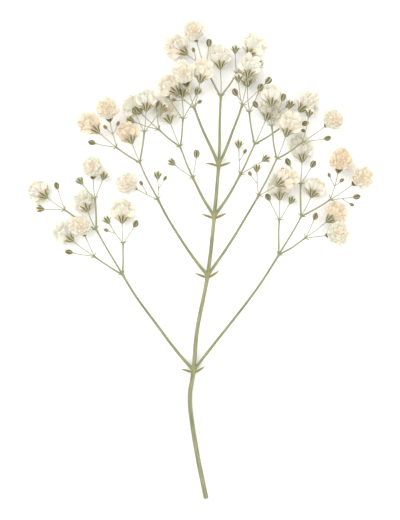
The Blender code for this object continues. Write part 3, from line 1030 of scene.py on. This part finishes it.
@dataclass
class Bract:
    """A narrow bract: a keeled blade that arches up and curls to one side."""

    piece: Piece
    foot: Points
    tip: Points
    share: float = 1.0
    rows: int = 9
    columns: int = 5
    slenderness: float = 0.2
    thickness: float = 0.1 * MM
    fine_point: float = 0.02 * MM
    arch: float = 0.14
    curl: float = 0.18
    keel: float = 0.3

    def build(self) -> None:
        """Build the bract, which reaches its share of the way from its foot to its tip."""
        forward = unit(self.tip - self.foot)
        length = self.share * float(np.linalg.norm(self.tip - self.foot))
        v = np.linspace(0.0, 1.0, self.rows)[:, None]
        u = np.linspace(-1.0, 1.0, self.columns)
        half = 0.5 * self.slenderness * length * (0.6 + 0.4 * np.sin(math.pi * v)) * (1 - v ** 3) ** 0.7
        half = np.maximum(half, self.fine_point)
        sway = self.piece.draw.uniform(-1, 1) * self.curl * length * v * v
        rise = self.arch * length * np.sin(0.8 * math.pi * v) + self.keel * half * np.abs(u)
        grid = self.foot + forward * (length * v)[..., None] + np.array(UPWARD) * rise[..., None]
        grid = grid + np.cross(forward, UPWARD) * (half * u + sway)[..., None]
        self.piece.add_blade(grid, self.thickness, 0.0, Patch.BRACT)


@dataclass
class MainStem:
    """The main stem: ribbed, swollen at its nodes, with the feet of its branches, cut square."""

    growth: Growth
    finishes: Finishes
    sides: int = 35
    step: float = 0.5 * MM
    ribs: float = 0.035
    swell: float = 0.42
    swell_length: float = 0.9 * MM
    tan: float = 0.05
    node_tan: float = 0.55
    pith: float = 0.12 * MM
    foot_sides: int = 14
    foot_taper: tuple[float, float] = (1.15, 0.6)

    def build(self) -> None:
        """Build the stem, the feet of its branches and its bracts."""
        piece = Piece("ribbed_main_stem", "main_stem", STEM_SLOT, random.Random(SEED))
        trunk, *feet = self.growth.stalks[piece.node]
        route = trunk.resampled(self.step).route
        nodes = np.max([near(route, fork, self.swell_length) for fork in self.growth.forks.values()], axis=0)
        radii = np.linspace(*MAIN_RADII, len(route)) * (1 + self.swell * nodes)
        tan = self.tan + self.node_tan * nodes
        piece.add_tube(Stalk(route, radii), self.sides, self.ribs, tan, self.pith)
        for foot in feet:
            line = foot.resampled(self.step)
            line.radii = line.radii * np.linspace(*self.foot_taper, len(line.radii))
            tan = self.tan + self.node_tan * near(line.route, line.route[0], self.swell_length)
            piece.add_tube(line, self.foot_sides, self.ribs, tan)
        for line in self.growth.bracts[piece.node]:
            Bract(piece, *line.route).build()
        piece.hand_over(self.finishes)


@dataclass
class Petal:
    """One petal: where it springs from and points, its size, and where its blade lies."""

    piece: Piece
    flower: Flower
    root: tuple[float, float, float]
    heading: float
    length: float
    width: float
    height: float
    ruffle: float
    tan: float
    rows: int = 10
    columns: int = 7
    claw: float = 0.2
    thickness: float = 0.05 * MM
    # Shares of its length: where it has risen, is widest and rounds off, and how long the rounding is
    risen: float = 0.4
    widest: float = 0.62
    shoulder: float = 0.68
    rounding: float = 0.345
    # The most that draws give: a notch and a frill as shares of its length, a slope, a turn in radians
    notch: float = 0.09
    frill: float = 0.03
    tilt: float = 0.28
    twist: float = 0.2

    def build(self) -> None:
        """Build the petal: a narrow claw and a blunt, notched, pleated blade."""
        draw = self.piece.draw
        across, along, depth = self.root
        v = np.linspace(0.0, 1.0, self.rows)[:, None]
        u = np.linspace(-1.0, 1.0, self.columns)
        blunt = np.sqrt(1 - (np.clip(v - self.shoulder, 0, 1) / self.rounding) ** 2.4)
        half = 0.5 * self.width * (self.claw + (1 - self.claw) * eased(v / self.widest)) * blunt
        notch = draw.uniform(0.0, self.notch) * np.exp(-((u / 0.3) ** 2)) * v ** 8
        frill = draw.uniform(0.0, self.frill) * np.cos(9 * u + draw.uniform(0, 6)) * v ** 9
        reach = self.length * (v - 0.07 * u * u * v ** 3 - notch + frill)
        bend = self.heading + draw.uniform(-self.twist, self.twist) * v
        pleat = np.sin(draw.uniform(2.4, 4.4) * math.pi * u + draw.uniform(0, math.tau)) * v ** 1.4
        crumple = np.sin(draw.uniform(4, 8) * v + 2 * u + draw.uniform(0, math.tau)) * v
        tilt = draw.uniform(-self.tilt, self.tilt) * u * half
        lift = depth + (self.height - depth) * eased(v / self.risen) + tilt * v
        lift = lift + self.ruffle * (pleat + 0.6 * crumple)
        x = across + reach * np.sin(bend) + half * u * np.cos(bend)
        y = along + reach * np.cos(bend) - half * u * np.sin(bend)
        grid = self.flower.placed(np.stack((x, y, lift), -1))
        self.piece.add_blade(grid, self.thickness, self.tan, Patch.PETAL)


@dataclass(frozen=True)
class Fan:
    """Petals that spread ahead of a calyx, level with it."""

    petals: int
    spread: float
    width: float
    depth: float
    ruffle: float

    def add(self, piece: Piece, flower: Flower, foot: float, reach: float, age: float) -> None:
        """Add the petals.

        Args:
            piece: The piece that takes them in.
            flower: The flower that they belong to.
            foot: How far ahead of the stalk's tip they spring.
            reach: How far ahead of it the longest ends.
            age: How tanned the flower is.
        """
        draw = piece.draw
        for k in range(self.petals):
            share = (k + draw.uniform(0.2, 0.8)) / self.petals
            heading = math.radians(self.spread * (2 * share - 1))
            length = (reach - foot) * draw.uniform(0.85, 1.0)
            height = draw.uniform(-1, 1) * self.depth
            width = self.width * draw.uniform(0.8, 1.15)
            tan = age + draw.uniform(0.0, 0.15)
            Petal(piece, flower, (0.0, foot, 0.0), heading, length, width, height, self.ruffle, tan).build()


@dataclass
class Calyx:
    """Five narrow sepals at the foot of the petals, pressed into a fan on the flower's back."""

    piece: Piece
    flower: Flower
    radius: float = CALYX_RADIUS
    length: float = CALYX_LENGTH
    flatness: float = CALYX_FLATNESS
    flare: float = 2.4
    green: float = 0.2
    wrap: float = 0.58
    gather: float = 0.0
    splay: float = 0.4
    half_width: float = 0.45 * MM
    reach: float = 1.2
    pressed: float = 0.5
    squareness: float = 0.7
    stray: float = 0.45
    rows: int = 9
    columns: int = 7
    thickness: float = 0.07 * MM
    foot: float = 0.3
    foot_flatness: float = 0.8
    overlap: float = 0.035 * MM
    below: float = 0.15 * MM

    def profile(self, v: Points) -> Points:
        """The bell's radius along a sepal, as a share of the calyx's."""
        belly = self.foot + (0.98 - self.foot) * np.sin(0.5 * math.pi * np.clip(v / 0.6, 0, 1)) ** 0.9
        return belly + self.flare * np.clip(v - 0.4, 0, 1) ** 1.4

    def breadth(self, v: Points) -> Points:
        """Half width along a sepal, which ends in a blunt point."""
        taper = (1 - (np.clip(v - 0.35, 0, 1) / 0.67) ** 2.6) ** 0.6
        return self.half_width * (0.5 + 0.5 * np.sin(0.5 * math.pi * np.clip(v / 0.5, 0, 1))) * taper

    def build(self) -> None:
        """Build the ring of sepals, turned and varied by draws."""
        draw = self.piece.draw
        back = 0.0 if self.flower.face == Face.BUD else math.pi
        turn = draw.uniform(-self.stray, self.stray)
        v = np.linspace(0.0, 1.0, self.rows)[:, None]
        u = np.linspace(-1.0, 1.0, self.columns)
        flat = self.foot_flatness + (self.flatness - self.foot_flatness) * eased(v / 0.7)
        flat = flat * (1 - self.pressed * eased((v - 0.5) / 0.5))
        for k in range(SEPALS):
            even = turn + math.tau * ((k + 0.5) / SEPALS - 0.5) + draw.uniform(-0.12, 0.12)
            middle = back + self.wrap * (even - self.gather * math.sin(2 * even))
            lean = draw.uniform(-0.1, 0.1) * np.clip(v - 0.4, 0, 1)
            bell = self.radius * (self.profile(v) + lean)
            angle = middle + u * np.minimum(self.breadth(v) / bell, 0.75)
            out = bell + self.overlap * u - 0.08 * self.radius * u * u * v
            reach = self.length * self.reach * draw.uniform(0.94, 1.04)
            reach = reach * (1 - self.splay * math.sin(middle) ** 2 * v)
            along = (reach + self.below) * v * (1 - 0.05 * u * u) - self.below
            height = np.sign(np.cos(angle)) * np.abs(np.cos(angle)) ** self.squareness
            grid = np.stack(np.broadcast_arrays(out * np.sin(angle), along, out * flat * height), -1)
            self.piece.add_blade(self.flower.placed(grid), self.thickness, self.green, Patch.SEPAL)


@dataclass
class OpeningBud(Calyx):
    """A bud that has begun to open: a small fan of sepals, and the first petals between them."""

    radius: float = 0.92 * BUD_RADIUS
    length: float = 0.95 * BUD_LENGTH
    green: float = 0.5
    half_width: float = 0.42 * MM
    reach: float = 1.1
    petals: Fan = Fan(7, 36.0, 1.0 * MM, 0.3 * MM, 0.05 * MM)
    petal_foot: float = 0.4
    showing: float = 0.6 * MM
    age: float = 0.1

    def build(self) -> None:
        """Build the sepals and the petals."""
        super().build()
        foot = self.petal_foot * self.length
        self.petals.add(self.piece, self.flower, foot, self.length + self.showing, self.age)


@dataclass
class Bud(Calyx):
    """A closed bud: its sepals cup a small knot of folded petals, which shows as it ripens."""

    ripe: float = 0.5
    size: float = 1.0
    wrap: float = 1.0
    gather: float = 0.2
    splay: float = 0.0
    half_width: float = 0.54 * MM
    reach: float = 1.04
    pressed: float = 0.0
    squareness: float = 1.0
    stray: float = math.pi / SEPALS
    tuft_share: float = 0.84
    tuft_rows: int = 9
    tuft_columns: int = 20
    pleats: int = 5
    pleat_depth: float = 0.14

    def __post_init__(self) -> None:
        """Size the bud by how ripe it is."""
        self.radius = BUD_RADIUS * self.size * (0.78 + 0.22 * self.ripe)
        self.length = BUD_LENGTH * self.size * (0.88 + 0.12 * self.ripe)
        self.half_width *= self.size
        self.flatness = BUD_FLATNESS
        self.green = 1 - 0.7 * self.ripe

    def profile(self, v: Points) -> Points:
        """The bud's radius along a sepal, as a share of its greatest: a ripe one is open at its tip."""
        foot = self.foot * (1 - v) ** 2
        return foot + (1 - foot) * np.sin(math.pi * (0.02 + (0.93 - 0.1 * self.ripe) * v)) ** 0.75

    def build(self) -> None:
        """Build the sepals, and the folded petals inside them, pleated where they come together."""
        super().build()
        t = np.linspace(0.06, 0.985, self.tuft_rows)[:, None]
        angle = math.tau * np.arange(self.tuft_columns) / self.tuft_columns
        fold = 1 + self.pleat_depth * np.cos(self.pleats * angle + 3 * t) * t
        out = self.tuft_share * self.radius * np.sin(math.pi * t) ** 0.6 * fold
        along = self.length * (0.85 + 0.25 * self.ripe) * t
        depth = out * np.cos(angle) * self.flatness
        grid = np.stack(np.broadcast_arrays(out * np.sin(angle), along, depth), -1)
        index = self.piece.add_points(self.flower.placed(grid), 0.3 + 0.3 * self.ripe)
        self.piece.add_rings(index, 0.3 + 0.7 * t[:, 0], Patch.PETAL, flip=True)
        self.piece.add_cap(index[0], Patch.PETAL)
        self.piece.add_cap(index[-1], Patch.PETAL, flip=True)


@dataclass(frozen=True)
class Gauge:
    """How a kind of stalk is drawn: its sides, its share of the solid's thickness, and its tan."""

    sides: int
    fineness: float
    tan: float


@dataclass
class FloweringSpray:
    """One side branch: twigs, bracts, flower stalks, calyces and buds."""

    growth: Growth
    finishes: Finishes
    spray: Spray
    branch: Gauge = Gauge(14, 0.94, 0.05)
    twig: Gauge = Gauge(10, 0.85, -0.15)
    flower_stalk: Gauge = Gauge(8, 0.56, -0.7)
    crook: float = 0.01
    step: float = 0.6 * MM
    ribs: float = 0.04
    swell: float = 0.45
    swell_length: float = 0.55 * MM
    node_tan: float = 0.5
    flares: tuple[float, float] = (1.8, 3.2)
    opening_flares: tuple[float, float] = (1.4, 2.4)
    opening_share: float = 0.5
    greenest: float = 0.4
    bract_share: float = 0.75
    minute_bract: float = 0.8 * MM
    ripest_minute_bud: float = 0.4

    def __post_init__(self) -> None:
        """Start the piece."""
        name = self.spray.name
        draw = random.Random(f"{SEED} {name}")
        self.piece = Piece(f"flowering_spray_{name}", f"spray_{name}", STEM_SLOT, draw)

    def add_stalk(self, stalk: Stalk, gauge: Gauge) -> None:
        """Add a stalk that bows a little, swollen at its tip and tanned at both ends.

        Args:
            stalk: Its middle line.
            gauge: How it is drawn.
        """
        line = stalk.resampled(self.step)
        foot, tip = (near(line.route, end, self.swell_length) for end in line.route[[0, -1]])
        span = line.route[-1] - line.route[0]
        turns = np.linspace(0.0, math.pi, len(line.route))
        bows = sum(self.piece.draw.uniform(-1, 1) / k * np.sin(k * turns) for k in (1, 2, 3))
        reach = self.crook * np.linalg.norm(span) * bows
        line.route = line.route + unit(np.cross(span, UPWARD)) * reach[:, None]
        line.radii = line.radii * gauge.fineness * (1 + self.swell * tip)
        tan = gauge.tan + self.node_tan * np.maximum(tip, foot)
        self.piece.add_tube(line, gauge.sides, self.ribs, tan)

    def add_head(self, flower: Flower) -> None:
        """Add what a flower's stalk carries: a calyx, a bud that is opening, or a closed one.

        Args:
            flower: The flower.
        """
        draw = self.piece.draw
        stage = draw.random()
        if flower.face != Face.BUD:
            flare = draw.uniform(*self.flares)
            head = Calyx(self.piece, flower, flare=flare, green=self.greenest * stage)
        elif stage < self.opening_share:
            head = OpeningBud(self.piece, flower, flare=draw.uniform(*self.opening_flares))
        else:
            head = Bud(self.piece, flower, ripe=(stage - self.opening_share) / (1 - self.opening_share))
        head.build()

    def add_side_bud(self, bud: Flower) -> None:
        """Add a minute bud on its hair of a stalk, with the bract that it springs from.

        Args:
            bud: Where it goes.
        """
        self.add_stalk(bud.stalk, self.flower_stalk)
        ripe = self.ripest_minute_bud * self.piece.draw.random()
        Bud(self.piece, bud, ripe=ripe, size=SIDE_SIZE).build()
        tip = bud.root + (bud.stalk.route[1] - bud.root) * self.minute_bract / (0.5 * SIDE_STALK)
        Bract(self.piece, bud.root, tip).build()

    def build(self) -> None:
        """Build the spray."""
        branch, *twigs = self.growth.stalks[self.spray.name]
        fork = self.growth.forks[self.spray.fork]
        joined = Stalk(np.vstack((fork, branch.route)), np.concatenate((branch.radii[:1], branch.radii)))
        self.add_stalk(joined, self.branch)
        for twig in twigs:
            self.add_stalk(twig, self.twig)
        for line in self.growth.bracts[self.spray.name]:
            Bract(self.piece, *line.route, share=self.bract_share).build()
        for flower in self.growth.flowers:
            if flower.spray is self.spray:
                self.add_stalk(flower.stalk, self.flower_stalk)
                self.add_head(flower)
        for bud in self.growth.side_buds:
            if bud.spray is self.spray:
                self.add_side_bud(bud)
        self.piece.hand_over(self.finishes)


@dataclass(frozen=True)
class Whorl:
    """A ring of petals at one height in a flower."""

    petals: int
    reach: float
    height: float
    width: float
    ruffle: float
    tan: float


@dataclass
class DoubleFlower:
    """The petals of one open flower, pressed into a ruffled disc."""

    finishes: Finishes
    flower: Flower
    number: int
    longest: float = 4.2 * MM
    rise: float = 0.3 * MM
    dip: float = 0.2 * MM
    heart: float = 0.6
    crossing: float = 0.35 * MM
    front: Fan = Fan(9, 58.0, 1.7 * MM, 0.24 * MM, 0.06 * MM)
    oldest: float = 0.8
    whorls: tuple[Whorl, ...] = (
        Whorl(14, 1.0, 0.95 * MM, 1.85 * MM, 0.08 * MM, 0.0),
        Whorl(12, 0.92, 1.25 * MM, 1.75 * MM, 0.1 * MM, 0.05),
        Whorl(10, 0.74, 1.58 * MM, 1.55 * MM, 0.12 * MM, 0.12),
        Whorl(8, 0.54, 1.86 * MM, 1.35 * MM, 0.13 * MM, 0.25),
        Whorl(7, 0.36, 2.06 * MM, 1.0 * MM, 0.12 * MM, 0.45),
        Whorl(5, 0.2, 2.14 * MM, 0.7 * MM, 0.1 * MM, 0.8),
    )

    def __post_init__(self) -> None:
        """Start the piece."""
        names = (f"double_flower_{self.number:02d}", f"bloom_{self.number:02d}")
        self.piece = Piece(*names, PETAL_SLOT, random.Random(SEED + self.number))

    def add_whorl(self, whorl: Whorl, age: float) -> None:
        """Add a ring of petals whose tips lie on a circle round the disc's middle.

        Args:
            whorl: The ring.
            age: How tanned the whole flower is.
        """
        draw = self.piece.draw
        flower = self.flower
        middle = flower.offset * flower.radius - self.rise
        turn = draw.uniform(0, math.tau)
        for k in range(whorl.petals):
            heading = turn + math.tau * (k + draw.uniform(-0.2, 0.2)) / whorl.petals
            edge = flower.radius * whorl.reach * draw.uniform(0.86, 1.0)
            inside = min(middle, 0.9 * edge)
            reach = inside * math.cos(heading) + math.sqrt(edge ** 2 - (inside * math.sin(heading)) ** 2)
            start = max(0.0, reach - self.longest)
            height = whorl.height + draw.uniform(-0.1, 0.1) * MM
            depth = self.rise
            if start > 0:
                depth = height - self.dip
            elif whorl.reach < self.heart:
                start = -self.crossing
                depth = height - 2 * self.dip
            along = CALYX_LENGTH + self.rise + middle - inside + start * math.cos(heading)
            root = (start * math.sin(heading), along, depth)
            tan = min(1.0, max(0.0, age + whorl.tan + draw.uniform(-0.1, 0.16)))
            width = whorl.width * draw.uniform(0.8, 1.15)
            Petal(self.piece, flower, root, heading, reach - start, width, height, whorl.ruffle, tan).build()

    def build(self) -> None:
        """Build the flower."""
        age = self.oldest * self.piece.draw.random() ** 3
        for whorl in self.whorls:
            self.add_whorl(whorl, age)
        reach = CALYX_LENGTH + self.flower.front
        self.front.add(self.piece, self.flower, 0.5 * CALYX_LENGTH, reach, age)
        self.piece.hand_over(self.finishes)


@dataclass(frozen=True)
class SoftLamp:
    """A wide soft lamp that points at the stem."""

    name: str
    place: tuple[float, float, float]
    width: float
    power: float

    def build(self) -> None:
        """Hang the lamp."""
        lamp = bpy.data.lights.new(self.name, "AREA")
        lamp.size = self.width
        lamp.energy = self.power
        thing = shown(self.name, lamp)
        thing.location = self.place
        thing.rotation_euler = Vector(self.place).to_track_quat("Z", "Y").to_euler()


@dataclass
class Studio:
    """The board that the stem lies on, soft light all round, and a camera straight above."""

    floor_width: float = 6.0
    lens: float = 90.0
    sensor: float = 36.0
    margin: float = 1.065
    room: float = 0.92
    lamps: tuple[SoftLamp, ...] = (
        SoftLamp("key", (-0.7, 0.6, 1.2), 1.3, 13.5),
        SoftLamp("fill", (0.8, -0.4, 1.1), 1.2, 8.0),
    )

    def add_board(self) -> None:
        """Lay the pale board."""
        mesh = bpy.data.meshes.new("board")
        corners = ((-0.5, -0.5, 0.0), (0.5, -0.5, 0.0), (0.5, 0.5, 0.0), (-0.5, 0.5, 0.0))
        mesh.from_pydata(np.array(corners) * self.floor_width, [], [(0, 1, 2, 3)])
        mesh.materials.append(CoatedBoard().material)
        board = shown("board", mesh)

    def add_room(self) -> None:
        """Light the room evenly."""
        sky = bpy.data.worlds.new("soft_room")
        sky.use_nodes = True
        background = sky.node_tree.nodes["Background"]
        background.inputs["Color"].default_value = (1.0, 1.0, 1.0, 1.0)
        background.inputs["Strength"].default_value = self.room
        bpy.context.scene.world = sky

    def add_camera(self) -> None:
        """Look straight down, as the photograph does, with the whole stem in the frame."""
        low, high = (np.array(corner) for corner in SOLID_BOX)
        height = self.margin * (high[1] - low[1])
        lens = bpy.data.cameras.new("camera")
        lens.lens = self.lens
        lens.sensor_width = self.sensor
        camera = shown("camera", lens)
        middle = 0.5 * (low + high)
        camera.location = (middle[0], middle[1], high[2] + height * self.lens / self.sensor)
        bpy.context.scene.camera = camera

    def build(self) -> None:
        """Set up the board, the lamps and the camera."""
        self.add_board()
        self.add_room()
        self.add_camera()
        for lamp in self.lamps:
            lamp.build()
        bpy.context.scene.view_settings.view_transform = "Standard"


def main() -> None:
    """Dress the main stem, the sprays and the flowers, and set up the studio."""
    logging.basicConfig(level=logging.INFO, format="%(name)s: %(message)s")
    growth = Growth()
    Studio().build()
    finishes = {kind: kind.value().material for kind in Patch}
    MainStem(growth, finishes).build()
    for spray in SPRAYS:
        FloweringSpray(growth, finishes, spray).build()
    opened = [flower for flower in growth.flowers if flower.face != Face.BUD]
    for number, flower in enumerate(opened, start=1):
        DoubleFlower(finishes, flower, number).build()


if __name__ == "__main__":
    main()
